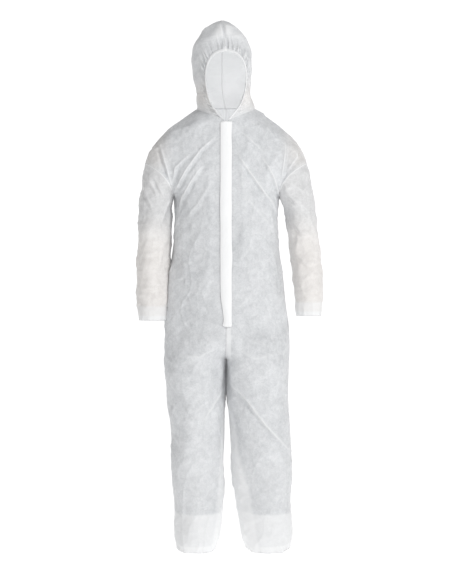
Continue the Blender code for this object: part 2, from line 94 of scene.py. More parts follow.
def ease(x):
    """0 to 1 with level ends."""
    x = np.clip(x, 0.0, 1.0)
    return x * x * (3 - 2 * x)


def bell(x, width):
    """1 at 0, falling smoothly to nothing beyond about two widths."""
    return np.exp(-(x / width) ** 2)


def along(points, share):
    """Points a share of the way along a smooth curve through the points."""
    points = np.array(points, float)
    place = np.linspace(0, 1, len(points))
    return np.stack([curve_through(list(zip(place, axis)))(share) for axis in points.T], axis=-1)


def travelled(points, axis=0):
    """The distance from the first point, down the rows (axis 0) or along them (axis 1)."""
    step = np.linalg.norm(np.diff(points, axis=axis), axis=-1)
    return np.concatenate([np.zeros_like(step.take([0], axis)), np.cumsum(step, axis)], axis)


def bezier(p0, p1, p2, p3, t):
    return p0 * (1 - t) ** 3 + p1 * 3 * t * (1 - t) ** 2 + p2 * 3 * t * t * (1 - t) + p3 * t**3


outer_side = curve_through([
    (0.0, 0.190), (0.04, 0.194), (0.18, 0.1955), (0.35, 0.201), (0.52, 0.204), (0.66, 0.208),
    (0.80, 0.207), (0.90, 0.200), (1.00, 0.187), (1.10, 0.176), (UNDERARM, ARMHOLE_BOTTOM[0]),
])
inner_side = curve_through([
    (0.0, 0.046), (0.04, 0.038), (0.11, 0.029), (0.18, 0.022), (0.35, 0.012), (0.50, 0.0055),
    (0.565, 0.0012), (0.60, 0.0008), (CROTCH, 0.0006),
])
leg_front = curve_through([(0.0, 0.074), (0.10, 0.080), (0.30, 0.094), (0.50, 0.118), (CROTCH, 0.138)])
leg_back = curve_through([(0.0, 0.084), (0.10, 0.090), (0.30, 0.098), (0.50, 0.112), (CROTCH, 0.130)])
body_back = curve_through([
    (CROTCH, 0.130), (0.80, 0.136), (0.95, 0.122), (1.08, 0.114), (1.22, 0.126), (1.33, 0.130),
    (1.42, 0.120), (1.49, 0.100), (NAPE, NAPE_DEPTH),
])


def body_front(height):
    """The centre front is straight from throat to fork, because the zip is."""
    share = (THROAT - height) / (THROAT - FORK)
    return FRONT_AT_THROAT + (FRONT_AT_FORK - FRONT_AT_THROAT) * share


def depth(height, facing):
    """How far a panel stands out at its middle; facing is -1 for the fronts and 1 for the backs."""
    if facing < 0:
        below = leg_front(height) + (body_front(FORK) - leg_front(CROTCH)) * ease(
            (height - CROTCH) / (FORK - CROTCH))
        return float(body_front(height) if height > FORK else below)
    return float(body_back(height) if height > CROTCH else leg_back(height))


CENTRE = 0.0003  # half the gap left where two panels are sewn together
GAP_SHUT, GAP_OPEN = 0.009, 0.005  # the zip's opening narrows from GAP_OPEN above its end to GAP_SHUT below


def half_gap(height, facing):
    """Half the gap at the centre: the zip's opening in front, a seam elsewhere."""
    if facing > 0:
        return CENTRE
    share = (height - ZIP_END + GAP_SHUT) / (GAP_SHUT + GAP_OPEN)
    return CENTRE + (ZIP_HALF - CENTRE) * float(ease(share))


FULLNESS = 0.92  # below 1 a level row is fuller than an ellipse


def lower_row(height, facing, count):
    """A level row from the centre or inseam round to the side seam, below the armhole."""
    outside = float(outer_side(height))
    if height > CROTCH:
        lean = float(np.clip((FORK - height) / (FORK - CROTCH), 0, 1))
        inside = half_gap(height, facing)
    else:
        lean = 1.0
        inside = float(inner_side(height))
    middle = (lean * outside + inside) / (1 + lean)
    radius = outside - middle
    start = math.acos(np.clip((inside - middle) / radius, -1, 1))
    angle = np.linspace(start, 0, count)
    x = middle + radius * np.cos(angle)
    y = facing * depth(height, facing) * np.sin(angle) ** FULLNESS
    return np.column_stack([x, y, np.full(count, drop(height))])


ARM_TOP = np.array([ARMHOLE_TOP[0], 0, drop(ARMHOLE_TOP[1])])
ARM_BOTTOM = np.array([ARMHOLE_BOTTOM[0], 0, drop(ARMHOLE_BOTTOM[1])])
ARM_MIDDLE = (ARM_TOP + ARM_BOTTOM) / 2
ARM_RADIUS = (ARM_TOP - ARM_BOTTOM) / 2
ARM_OUT = np.array([ARM_RADIUS[2], 0, -ARM_RADIUS[0]]) / np.linalg.norm(ARM_RADIUS)
ARM_HOLLOW = 0.016  # how far the front of the armhole is cut in towards the body


def armhole_hollow(turn):
    """How far the front armhole lies inside the plain ring."""
    return -ARM_OUT * ARM_HOLLOW * math.sin(turn) ** 2 * (1 - 0.4 * math.cos(turn))


def armhole(turn, facing):
    """A point of the armhole, from its top (0) to the underarm (pi)."""
    out = np.array([0, facing * ARMHOLE_DEPTH * math.sin(turn), 0])
    ring = ARM_MIDDLE + ARM_RADIUS * math.cos(turn) + out
    return ring + armhole_hollow(turn) if facing < 0 else ring


def neck_seam(share):
    """The neck seam's left half, from the throat (0) round to the nape (1)."""
    return along([
        (ZIP_HALF, -FRONT_AT_THROAT, drop(THROAT)),
        (0.062, -0.072, drop(1.489)),
        (NECK_HALF, 0.0, drop(NECK_SIDE)),
        (0.066, 0.062, drop(1.527)),
        (CENTRE, NAPE_DEPTH, drop(NAPE)),
    ], share)


NECK_SHARE = 0.34  # the share of a panel's upper rows that start at the neck seam
QUARTER = 0.552  # the handle that bends a Bezier curve to a quarter circle of radius 1


def upper_row(share, facing, count):
    """A row from the neck or the centre line out to the armhole; 0 is the shoulder seam."""
    if share < NECK_SHARE:
        part = 0.5 * (1 - share / NECK_SHARE)
        start = neck_seam(part if facing < 0 else 1 - part)
    else:
        top = THROAT if facing < 0 else NAPE
        height = top + (UNDERARM - top) * (share - NECK_SHARE) / (1 - NECK_SHARE)
        start = np.array([half_gap(height, facing), facing * depth(height, facing), drop(height)])
    end = armhole(math.pi * share, facing)
    level = float(ease((share - 0.1) / 0.9))
    leave = np.array([0.082, 0, -0.057]) * (1 - level)
    leave = leave + np.array([QUARTER * ARMHOLE_BOTTOM[0], 0, 0]) * level
    crown = math.sin(math.pi * min(share / NECK_SHARE, 1))
    leave = leave + np.array([0, facing * 0.02, 0]) * crown
    turn = float(ease((share - 0.45) / 0.55))
    arrive = np.array([0.024, 0, -0.086]) * (1 - turn)
    arrive = arrive + np.array([0, -facing * QUARTER * depth(UNDERARM, facing), 0]) * turn
    t = np.linspace(0, 1, count)[:, None]
    return bezier(start, start + leave, end - arrive, end, t)


def relaxed(grid, rounds):
    """The grid with its inside points eased towards their neighbours, which takes out kinks."""
    for _ in range(rounds):
        around = grid[:-2, 1:-1] + grid[2:, 1:-1] + grid[1:-1, :-2] + grid[1:-1, 2:]
        grid[1:-1, 1:-1] = 0.5 * grid[1:-1, 1:-1] + 0.125 * around
    return grid


APART = 0.0002  # keeps front and back panels from touching along their seams


def body_grid(facing):
    """All the rows of one body panel, shoulder to hem, on the wearer's left."""
    rows = [upper_row(s, facing, ACROSS) for s in np.linspace(0, 1, UPPER_ROWS)]
    rows += [lower_row(h, facing, ACROSS) for h in np.linspace(UNDERARM, HEM, LOWER_ROWS + 1)[1:]]
    grid = relaxed(np.array(rows), 14)
    grid[:, :, 1] += facing * APART
    return grid


# ---- Noise and folds ----------------------------------------------------------------------------
def ripple(points, length, seed, stretch=(1, 1, 1), waves=22):
    """A smooth random field of that wavelength, about -2 to 2, from seeded plane waves."""
    rng = np.random.default_rng(seed)
    way = rng.normal(size=(3, waves))
    way *= 2 * math.pi / length * rng.uniform(0.6, 1.4, waves) / np.linalg.norm(way, axis=0)
    phase = rng.uniform(0, 2 * math.pi, waves)
    flat = (points * np.array(stretch)).reshape(-1, 3)
    return (np.sin(flat @ way + phase).sum(axis=1) / math.sqrt(waves / 2)).reshape(points.shape[:-1])


def crumple(points, layers):
    """The sum of random layers, each a (height, wavelength, seed, stretch, sharp).

    Where sharp isn't 0 the layer is thin ridges along the random field's zero lines, instead of the field.
    """
    total = np.zeros(points.shape[:-1])
    for height, length, seed, stretch, sharp in layers:
        field = ripple(points, length, seed, stretch)
        total += height * (np.exp(-np.abs(field) * sharp) if sharp else field)
    return total


def normals(grid, outward, closed=False):
    """Unit normals of a grid, turned to the side that outward points to at its middle."""
    if closed:
        wide = np.concatenate([grid[:, -1:], grid, grid[:, :1]], axis=1)
        across = np.gradient(wide, axis=1)[:, 1:-1]
    else:
        across = np.gradient(grid, axis=1)
    normal = np.cross(across, np.gradient(grid, axis=0))
    normal /= np.maximum(np.linalg.norm(normal, axis=2), 1e-12)[:, :, None]
    middle = normal[normal.shape[0] // 2, 0 if closed else normal.shape[1] // 2]
    return normal * (1 if middle @ np.array(outward, float) > 0 else -1)


def raised(grid, outward, by, closed=False):
    """The grid moved along its normals, inwards where by is below 0."""
    return grid + normals(grid, outward, closed) * np.asarray(by)[..., None]


def fold(grid, line, width, height):
    """A fold along a line in the front view: its height over each point, and its crest as a share of 1."""
    x, z = grid[..., 0], grid[..., 2] + NECK
    line = np.array(line, float)
    best = np.full(x.shape, 1e9)
    signed = np.zeros(x.shape)
    place = np.zeros(x.shape)
    reached = travelled(line)
    for start, a, b in zip(reached, line[:-1], line[1:]):
        length = np.linalg.norm(b - a)
        way = (b - a) / length
        s = np.clip((x - a[0]) * way[0] + (z - a[1]) * way[1], 0, length)
        gap_x, gap_z = x - a[0] - way[0] * s, z - a[1] - way[1] * s
        gap = np.hypot(gap_x, gap_z)
        side = np.sign(gap_x * way[1] - gap_z * way[0])
        near = gap < best
        best = np.where(near, gap, best)
        signed = np.where(near, gap * side, signed)
        place = np.where(near, (start + s) / reached[-1], place)
    lower = signed * (1 if line[-1, 0] > line[0, 0] else -1)
    ends = np.sin(math.pi * np.clip(place * 0.94 + 0.03, 0, 1)) ** 0.6
    crest = np.exp(-np.abs(lower / (0.7 * width)) ** 1.3)
    shape = crest - 0.8 * bell(lower - 1.9 * width, 1.1 * width)
    return height * shape * ends, np.exp(-np.abs(lower / (0.45 * width)) ** 1.5) * ends


def folds(grid, lines, side):
    """The height and the crests of all the folds that lie on one side of the suit."""
    height, crest = np.zeros(grid.shape[:2]), np.zeros(grid.shape[:2])
    for line, width, tall in lines:
        if np.mean([point[0] for point in line]) * side > 0:
            one, top = fold(grid, line, width, tall)
            height = height + one
            crest = np.maximum(crest, top * min(tall / 0.005, 1.0))
    return height, crest


# Random layers, as crumple takes them
BODY_CRUMPLE = [
    (0.0030, 0.26, 11, (1, 1, 0.35), 0),
    (0.0018, 0.085, 12, (1, 1, 0.6), 0),
    (0.0024, 0.16, 13, (1, 1, 0.8), 6.0),
    (0.0013, 0.075, 14, (1, 1, 0.9), 5.0),
    (0.0005, 0.026, 15, (1, 1, 1), 0),
]
HEM_GATHERS = (0.0008, 0.020, 16, (1, 1, 0.10), 0)
WAIST_GATHERS = (0.0040, 0.024, 17, (1, 1, 0.12), 0)

# Each fold is its (x, height) points in the front view, its width and the height of its crest.
FRONT_FOLDS = [
    ([(-0.0144, 1.4235), (-0.0837, 1.3632), (-0.134, 1.2945), (-0.1708, 1.2305), (-0.181, 1.191)],
     0.0055, 0.0050),
    ([(-0.0824, 1.3063), (-0.1222, 1.2466), (-0.1507, 1.199), (-0.162, 1.159)], 0.0060, 0.0045),
    ([(-0.1222, 1.3465), (-0.1507, 1.323), (-0.171, 1.303), (-0.182, 1.2547)], 0.0055, 0.0042),
    ([(-0.2257, 1.390), (-0.210, 1.3344), (-0.1942, 1.2795), (-0.1778, 1.2148)], 0.0060, 0.0060),
    ([(-0.178, 0.9245), (-0.130, 0.936)], 0.0050, 0.0022),
    ([(-0.0017, 0.5595), (-0.0616, 0.4757), (-0.0774, 0.4477)], 0.0070, 0.0045),
    ([(-0.050, 1.245), (-0.098, 1.176), (-0.142, 1.120)], 0.0075, 0.0026),
    ([(-0.035, 0.700), (-0.090, 0.668), (-0.150, 0.672)], 0.0080, 0.0026),
    ([(0.0214, 1.374), (0.0613, 1.3143), (0.109, 1.2466), (0.157, 1.1827), (0.177, 1.143)], 0.0060, 0.0055),
    ([(0.125, 1.3344), (0.157, 1.2785), (0.181, 1.215), (0.189, 1.199)], 0.0055, 0.0052),
    ([(0.0532, 1.422), (0.0931, 1.3866), (0.125, 1.358)], 0.0055, 0.0032),
    ([(0.201, 1.390), (0.197, 1.334), (0.189, 1.2705)], 0.0060, 0.0060),
    ([(0.2367, 1.374), (0.2407, 1.343), (0.204, 1.286)], 0.0055, 0.0042),
    ([(0.133, 1.4535), (0.157, 1.414)], 0.0050, 0.0022),
    ([(0.0295, 0.824), (0.077, 0.864)], 0.0055, 0.0026),
    ([(0.010, 0.580), (0.066, 0.519), (0.122, 0.4396), (0.194, 0.344)], 0.0070, 0.0052),
    ([(0.040, 0.690), (0.095, 0.662), (0.150, 0.676)], 0.0080, 0.0026),
    ([(0.055, 1.220), (0.100, 1.160), (0.150, 1.105)], 0.0075, 0.0024),
]
BACK_FOLDS = [
    ([(0.020, 1.400), (0.080, 1.340), (0.150, 1.240)], 0.012, 0.0070),
    ([(-0.030, 1.420), (-0.090, 1.350), (-0.160, 1.245)], 0.012, 0.0070),
    ([(0.010, 0.700), (0.080, 0.640), (0.160, 0.640)], 0.013, 0.0060),
    ([(-0.010, 0.690), (-0.070, 0.640), (-0.150, 0.650)], 0.013, 0.0060),
    ([(0.050, 0.520), (0.110, 0.450), (0.180, 0.430)], 0.012, 0.0050),
    ([(-0.050, 0.500), (-0.120, 0.440), (-0.180, 0.430)], 0.012, 0.0050),
]


def body_relief(grid, facing, side):
    """How far each point stands proud of the smooth panel, and the crests of its folds as a share of 1."""
    height = grid[:, :, 2] + NECK
    column = np.linspace(0, 1, grid.shape[1])[None, :]
    row = np.arange(grid.shape[0])[:, None]
    tall, crest = folds(grid, FRONT_FOLDS if facing < 0 else BACK_FOLDS, side)
    relief = crumple(grid, BODY_CRUMPLE) + tall
    relief += np.exp(-height / 0.030) * crumple(grid, [HEM_GATHERS])
    if facing > 0:
        relief += bell(height - WAIST, 0.045) * crumple(grid, [WAIST_GATHERS])
        relief -= 0.008 * bell(height - WAIST, 0.020)
    seam = np.where(row < UPPER_ROWS, 0.06, 0.03)
    outer = ease((1 - column) / seam)
    inner = ease(column / 0.03) if facing > 0 else ease((column - 0.09) / 0.10)
    inner = np.where((height < CROTCH) & (facing < 0), ease(column / 0.05), inner)
    fade = outer * inner * ease(row / 4.0)
    return relief * fade, crest * fade


# How far the legs lean to the wearer's left: their inner sides, then the outer side of each (right is -1)
LEG_LEAN = curve_through([
    (0.05, 0.0155), (0.12, 0.012), (0.18, 0.012), (0.25, 0.0055), (0.39, 0.004), (0.55, 0.0), (0.60, 0.0),
])
SIDE_LEAN = {
    -1: curve_through([
        (0.05, 0.018), (0.12, 0.019), (0.18, 0.016), (0.25, 0.012), (0.37, 0.014), (0.52, 0.004),
        (0.64, 0.0), (0.70, 0.0),
    ]),
    1: curve_through([
        (0.05, 0.023), (0.18, 0.022), (0.25, 0.023), (0.32, 0.024), (0.39, 0.020), (0.52, 0.010),
        (0.75, 0.009), (0.86, 0.0), (0.92, 0.0),
    ]),
}
LEG_WIDTH = 0.200  # where a leg's outer side leans by the whole of SIDE_LEAN


def swayed(grid, part):
    """The small lean of the worn suit: the hood to the wearer's right, the legs and sleeves to the left."""
    height = grid[..., 2] + NECK
    x = grid[..., 0]
    moved = grid.copy()
    if part == "body":
        inside = LEG_LEAN(height)
        outside = np.where(x < 0, SIDE_LEAN[-1](height), SIDE_LEAN[1](height))
        moved[..., 0] += inside + (outside - inside) * np.clip(np.abs(x) / LEG_WIDTH, 0, 1)
    elif part == "hood":
        lean = 0.014 * ease((height - 1.50) / 0.12)
        moved[..., 0] -= lean * ease((grid[..., 1] + 0.085) / 0.06)
    elif part == "sleeve_right":
        low = ease((1.0 - height) / 0.25)
        moved[..., 0] += (0.010 * low + 0.004 * ease((1.2 - height) / 0.15)
                          + 0.06 * (x + 0.310) * ease((1.2 - height) / 0.2))
    else:
        inner = np.clip((0.310 - x) / 0.11, 0, 1)
        inner = inner * ease((1.22 - height) / 0.08) * ease((height - 0.84) / 0.2)
        moved[..., 0] += 0.018 * ease((1.26 - height) / 0.42) + 0.011 * inner
    return moved


# ---- Objects ------------------------------------------------------------------------------------
def mirrored(points, side):
    """The wearer's left is modelled; side -1 gives the right."""
    return np.array(points, float) * np.array([side, 1, 1])


def linked(name, data):
    obj = bpy.data.objects.new(name, data)
    bpy.context.scene.collection.objects.link(obj)
    return obj


def mesh_object(name, points, faces, finish):
    mesh = bpy.data.meshes.new(name)
    mesh.from_pydata([tuple(p) for p in points], [], faces)
    mesh.shade_smooth()
    mesh.materials.append(finish)
    return linked(name, mesh)


def grid_faces(rows, columns, closed=False, looped=False):
    """Quads between rows. closed joins the last column to the first, and looped the last row."""
    def at(i, j):
        return i % rows * columns + j % columns

    return [
        (at(i, j), at(i, j + 1), at(i + 1, j + 1), at(i + 1, j))
        for i in range(rows - (not looped)) for j in range(columns - (not closed))
    ]


def add_field(obj, name, values):
    field = obj.data.attributes.new(name, "FLOAT", "POINT")
    field.data.foreach_set("value", np.ascontiguousarray(values, np.float32).ravel())


def cloth_piece(name, grid, finish, outward, fields, thickness=CLOTH, closed=False, lining=None):
    """A sheet of cloth on a grid, with its own lining or none.

    outward is what its middle faces; fields are its per-point attributes.
    """
    rows, columns = grid.shape[:2]
    obj = mesh_object(name, grid.reshape(-1, 3), grid_faces(rows, columns, closed), finish)
    ends = columns if closed else columns - 1
    middle = obj.data.polygons[(rows - 1) // 2 * ends + (0 if closed else ends // 2)]
    if middle.normal.dot(Vector(outward)) < 0:
        obj.data.flip_normals()
    for field, values in fields.items():
        add_field(obj, field, np.broadcast_to(values, grid.shape[:2]))
    shell = obj.modifiers.new("thickness", "SOLIDIFY")
    shell.thickness = thickness
    shell.offset = -1
    if lining:
        obj.data.materials.append(lining)
        shell.material_offset = 1
    return obj


def tube(name, points, radius, finish, closed=False, sides=6, fields=None):
    """A round strand along the points, as a mesh."""
    points = np.array(points, float)
    if closed:
        way = np.roll(points, -1, axis=0) - np.roll(points, 1, axis=0)
    else:
        way = np.gradient(points, axis=0)
    way /= np.linalg.norm(way, axis=1)[:, None]
    level = np.where(np.abs(way[:, 2:3]) > 0.9, np.array([[1.0, 0, 0]]), np.array([[0, 0, 1.0]]))
    first = np.cross(way, level)
    first /= np.linalg.norm(first, axis=1)[:, None]
    second = np.cross(way, first)
    turn = np.linspace(0, 2 * math.pi, sides, endpoint=False)
    radius = np.broadcast_to(np.asarray(radius, float), len(points))[:, None, None]
    ring = points[:, None] + radius * (np.cos(turn)[None, :, None] * first[:, None]
                                       + np.sin(turn)[None, :, None] * second[:, None])
    count = len(points)
    faces = grid_faces(count, sides, closed=True, looped=closed)
    if not closed:
        faces += [tuple(range(sides))[::-1], tuple((count - 1) * sides + j for j in range(sides))]
    obj = mesh_object(name, ring.reshape(-1, 3), faces, finish)
    for field, values in (fields or {}).items():
        add_field(obj, field, np.repeat(np.broadcast_to(values, count), sides))
    return obj


def stands_for(nodes):
    """The piece replaces CAD nodes, which are hidden."""
    if nodes:
        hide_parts(*nodes)


def carried(piece, body, slot, *nodes):
    """The piece rides on a body."""
    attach(piece, body)
    stands_for(nodes)


# ---- Materials ----------------------------------------------------------------------------------
class Nodes:
    """Short names for building a material's node tree."""

    def __init__(self, name, roughness, sheen=0.0, specular=0.3):
        self.material = bpy.data.materials.new(name)
        self.material.use_nodes = True
        self.tree = self.material.node_tree
        self.shader = self.tree.nodes["Principled BSDF"]
        self.shader.inputs["Roughness"].default_value = roughness
        self.shader.inputs["Sheen Weight"].default_value = sheen
        self.shader.inputs["Sheen Roughness"].default_value = 0.5
        self.shader.inputs["Specular IOR Level"].default_value = specular
        self.coordinates = self.tree.nodes.new("ShaderNodeTexCoord").outputs["Object"]

    def give(self, socket, value):
        """Sets a socket to a number or colour, or links it to another node's output."""
        if isinstance(value, bpy.types.NodeSocket):
            self.tree.links.new(value, socket)
        else:
            socket.default_value = value

    def add(self, kind, output, **inputs):
        """A new node's output. Its inputs go by name, with _ for a space."""
        node = self.tree.nodes.new("ShaderNode" + kind)
        for name, value in inputs.items():
            self.give(node.inputs[name.replace("_", " ")], value)
        return node.outputs[output]

    def noise(self, scale, detail=4.0, rough=0.6, stretch=(1, 1, 1), distortion=0.0):
        place = self.add("Mapping", "Vector", Vector=self.coordinates, Scale=stretch)
        return self.add("TexNoise", "Fac", Vector=place, Scale=scale, Detail=detail, Roughness=rough,
                        Distortion=distortion)

    def cells(self, scale):
        return self.add("TexVoronoi", "Distance", Vector=self.coordinates, Scale=scale)

    def spread(self, value, low, high, to_low=0.0, to_high=1.0):
        return self.add("MapRange", "Result", Value=value, From_Min=low, From_Max=high, To_Min=to_low,
                        To_Max=to_high)

    def sum(self, *parts):
        """The weighted sum of (value, weight) parts."""
        total = 0.0
        for value, weight in parts:
            node = self.tree.nodes.new("ShaderNodeMath")
            node.operation = "MULTIPLY_ADD"
            for socket, given in zip(node.inputs, (value, weight, total)):
                self.give(socket, given)
            total = node.outputs[0]
        return total

    def field(self, name):
        node = self.tree.nodes.new("ShaderNodeAttribute")
        node.attribute_name = name
        return node.outputs["Fac"]

    def mix(self, factor, a, b):
        """a where factor is 0 and b where it is 1; each is a colour or a node's output."""
        node = self.tree.nodes.new("ShaderNodeMix")
        node.data_type = "RGBA"
        self.give(node.inputs["Factor"], factor)
        for colour, socket in ((a, node.inputs["A"]), (b, node.inputs["B"])):
            self.give(socket, (*colour, 1) if isinstance(colour, tuple) else colour)
        return node.outputs["Result"]

    def colour(self, out):
        self.give(self.shader.inputs["Base Color"], out)

    def roughness(self, out):
        self.give(self.shader.inputs["Roughness"], out)

    def glow(self, colour, strength):
        self.shader.inputs["Emission Color"].default_value = (*colour, 1)
        self.shader.inputs["Emission Strength"].default_value = strength

    def bump(self, height, distance, strength):
        bumped = self.add("Bump", "Normal", Height=height, Distance=distance, Strength=strength)
        self.give(self.shader.inputs["Normal"], bumped)


def nonwoven(name, thin, thick, lined, warm_thin, warm_thick, glow_for_light_through=0.0):
    """Spunbonded cloth: clouds of thin and thick fibre, whiter by "layers" and warmer by "warm".

    The last argument sets a painted glow: an emission that stands in for the light that comes through the
    thin cloth from behind.
    """
    n = Nodes(name, 0.72, sheen=0.25, specular=0.25)
    banks = n.spread(n.noise(7, 4, 0.6, distortion=0.4), 0.38, 0.62)
    clouds = n.spread(n.noise(30, 6, 0.68, distortion=0.6), 0.36, 0.64)
    clumps = n.spread(n.noise(85, 5, 0.7, distortion=0.8), 0.38, 0.62)
    flecks = n.spread(n.noise(220, 4, 0.7, distortion=1.5), 0.40, 0.62)
    fibre = n.noise(900, 3, 0.6, stretch=(1, 1, 0.25))
    formed = n.sum((banks, 0.20), (clouds, 0.30), (clumps, 0.30), (flecks, 0.20), (fibre, 0.08))
    plain = n.mix(formed, thin, thick)
    warm = n.mix(formed, warm_thin, warm_thick)
    cloth = n.mix(n.field("warm"), plain, warm)
    # Whiter by layers: doubled cloth, and also painted highlights on fold crests and raised hood gathers,
    # and painted shade on the upper sleeves where layers stays low.
    n.colour(n.mix(n.field("layers"), cloth, lined))
    # Painted glow, standing in for the light that comes through the cloth.
    n.glow((0.97, 0.98, 1.0), glow_for_light_through)
    n.roughness(n.spread(formed, 0.0, 1.0, 0.80, 0.66))
    bonds = n.spread(n.cells(620), 0.15, 0.55)
    n.bump(n.sum((bonds, 0.45), (fibre, 0.5), (flecks, 0.5), (clumps, 0.6)), 0.0006, 0.55)
    return n.material


def thread_material():
    """Spun polyester sewing thread: fine twisted strands."""
    n = Nodes("spun_thread", 0.65, sheen=0.3)
    # A painted glow: the thread emits a little light so that the seams inside the hood and suit don't sit
    # in their shade.
    n.glow((1, 1, 1), 0.20)
    strands = n.noise(2400, 2, 0.5, stretch=(1, 1, 0.3))
    n.colour(n.mix(strands, (0.86, 0.86, 0.86), (0.96, 0.96, 0.96)))
    n.bump(strands, 0.0002, 0.6)
    return n.material


def elastic_material():
    """Covered elastic: close ribs along its length."""
    n = Nodes("covered_elastic", 0.7, sheen=0.2)
    ribs = n.noise(1500, 2, 0.5, stretch=(1, 1, 6))
    soil = n.noise(60, 3, 0.6)
    n.colour(n.mix(n.sum((ribs, 0.6), (soil, 0.4)), (0.78, 0.78, 0.76), (0.94, 0.94, 0.92)))
    n.bump(ribs, 0.0003, 0.8)
    return n.material


def tape_material():
    """The zip's woven tape: a fine twill."""
    n = Nodes("woven_tape", 0.68, sheen=0.2)
    warp = n.noise(1900, 2, 0.5, stretch=(1, 1, 0.2))
    weft = n.noise(1900, 2, 0.5, stretch=(0.2, 1, 1))
    weave = n.sum((warp, 0.5), (weft, 0.5))
    n.colour(n.mix(weave, (0.74, 0.74, 0.74), (0.93, 0.93, 0.93)))
    n.bump(weave, 0.0003, 0.8)
    return n.material


def nylon_material():
    """Moulded white nylon with a soft gloss and faint flow marks."""
    n = Nodes("moulded_nylon", 0.35, specular=0.5)
    flow = n.noise(140, 3, 0.5)
    n.colour(n.mix(flow, (0.82, 0.82, 0.80), (0.92, 0.92, 0.91)))
    n.roughness(n.spread(flow, 0.3, 0.7, 0.28, 0.45))
    n.bump(n.noise(700, 2, 0.5), 0.0001, 0.4)
    return n.material


def stage_material():
    """White paper that glows, so that no shadow or far edge shows on it."""
    n = Nodes("stage", 0.9, specular=0.0)
    n.shader.inputs["Base Color"].default_value = (0.20, 0.20, 0.20, 1)
    n.glow((1, 1, 1), 0.99)
    return n.material


# ---- Camera, floor and light --------------------------------------------------------------------
PICTURE_HIGH = 1.990  # metres that the picture's height covers at the suit's middle plane
CAMERA_AWAY = 3.8
SENSOR = 36.0


def make_camera():
    data = bpy.data.cameras.new("camera")
    camera = linked("camera", data)
    data.sensor_width = SENSOR
    data.lens = SENSOR * CAMERA_AWAY / PICTURE_HIGH
    camera.location = (-0.0034, -CAMERA_AWAY, drop(0.896))
    camera.rotation_euler = (math.pi / 2, 0, 0)
    bpy.context.scene.camera = camera


STAGE_HALF = 8.0
WALL_AWAY = 6.5
WALL_BEND = 1.2


def make_stage():
    """A white floor that curves up into a white wall, far enough back to walk round the suit."""
    turn = np.linspace(0, math.pi / 2, 13)
    profile = [(-STAGE_HALF, 0.0)]
    profile += [(WALL_AWAY - WALL_BEND * (1 - math.sin(a)), WALL_BEND * (1 - math.cos(a))) for a in turn]
    profile += [(WALL_AWAY, 6.0)]
    floor = drop(HEM) - 0.002
    grid = np.array([[(x, y, z + floor) for y, z in profile] for x in (-STAGE_HALF, STAGE_HALF)])
    obj = mesh_object("floor", grid.reshape(-1, 3), grid_faces(2, len(profile)), stage_material())


def area_light(name, place, target, size, power):
    data = bpy.data.lights.new(name, "AREA")
    data.shape = "DISK"
    data.size = size
    data.energy = power
    obj = linked(name, data)
    obj.location = place
    obj.rotation_euler = (Vector(target) - Vector(place)).to_track_quat("-Z", "Y").to_euler()


def make_light():
    world = bpy.data.worlds.new("studio")
    bpy.context.scene.world = world
    world.use_nodes = True
    world.node_tree.nodes["Background"].inputs["Color"].default_value = (1, 1, 1, 1)
    world.node_tree.nodes["Background"].inputs["Strength"].default_value = 0.37
    area_light("key", (2.4, -3.0, 1.4), (0, 0, -0.5), 1.2, 66)
    area_light("near_camera", (-0.3, -4.2, 0.3), (0, 0, -0.6), 1.5, 15)
    bpy.context.scene.view_settings.view_transform = "Standard"


# ---- Body ---------------------------------------------------------------------------------------
HEM_DEEP = 0.022  # height of the doubled hems
HEM_GAP = 0.0030  # between a hem's two layers, where its elastic lies
HEM_LAYERS = 0.9  # how white the turned-in cloth of a hem is
ANKLE_PULL = 0.035  # the share by which an ankle's elastic draws its hem in
HEM_CORNER = 0.006  # how far a hem's corners are rounded up
ROW_STEP = UNDERARM / LOWER_ROWS


def turned_in(grid, inside, rows, at_start=False):
    """The grid with a folded hem: its last or first rows again, on the inside."""
    if at_start:
        return np.concatenate([inside[rows:0:-1], grid])
    return np.concatenate([grid, inside[-2:-rows - 2:-1]])


def with_hem(values, rows, level, at_start=False):
    """A field with its hem's turned-in rows, which are all at one level."""
    hem = np.full((rows, values.shape[1]), level)
    return np.concatenate([hem, values] if at_start else [values, hem])


def leg_layers(height):
    """How much whiter the lower legs are: a band below 0.137 m, and a slow lightening from 0.62 m down."""
    return 0.60 * ease((0.137 - height) / 0.010) + 0.12 * ease((0.62 - height) / 0.40)


# The white strip along each inner leg: its width at the knee, how much it widens below, and its whiteness
INNER_STRIP = {1: (0.036, 0.055, 0.70), -1: (0.026, 0.030, 0.50)}


def body_layers(grid, facing, side, crest):
    """How much whiter each point is drawn: doubled cloth at hems and seams, white strips along the legs'
    edges, the lighter lower legs, and a painted highlight along fold crests.
    """
    height = grid[:, :, 2] + NECK
    inner = travelled(grid, axis=1)
    outer = inner[:, -1:] - inner
    leg = ease((CROTCH - 0.06 - height) / 0.12)
    narrow, widens, white = INNER_STRIP[side]
    band = narrow + widens * ease((0.55 - height) / 0.40)
    layers = np.maximum.reduce([
        0.30 * bell(outer, 0.008),
        white * ease((band - inner) / 0.022 + 0.5) * leg,
        0.45 * ease((0.030 - outer) / 0.016 + 0.3) * leg,
        # Fold crests drawn whiter: partly the whitening of creased nonwoven, partly a painted highlight on
        # the lit ridge.
        0.80 * crest,
    ])
    if facing < 0:
        strip = ease((0.017 - grid[:, :, 0] * side) / 0.002) * ease((ZIP_END - height) / 0.01)
        layers = np.maximum(layers, 0.60 * strip * ease((height - 0.65) / 0.01) * (side > 0))
    else:
        layers = np.maximum(layers, 0.30 * bell(inner, 0.008))
    layers = layers + leg_layers(height)
    layers = np.maximum(layers, 0.95 * ease((HEM_DEEP + 0.003 - height) / 0.003))
    return np.clip(layers, 0, 1)


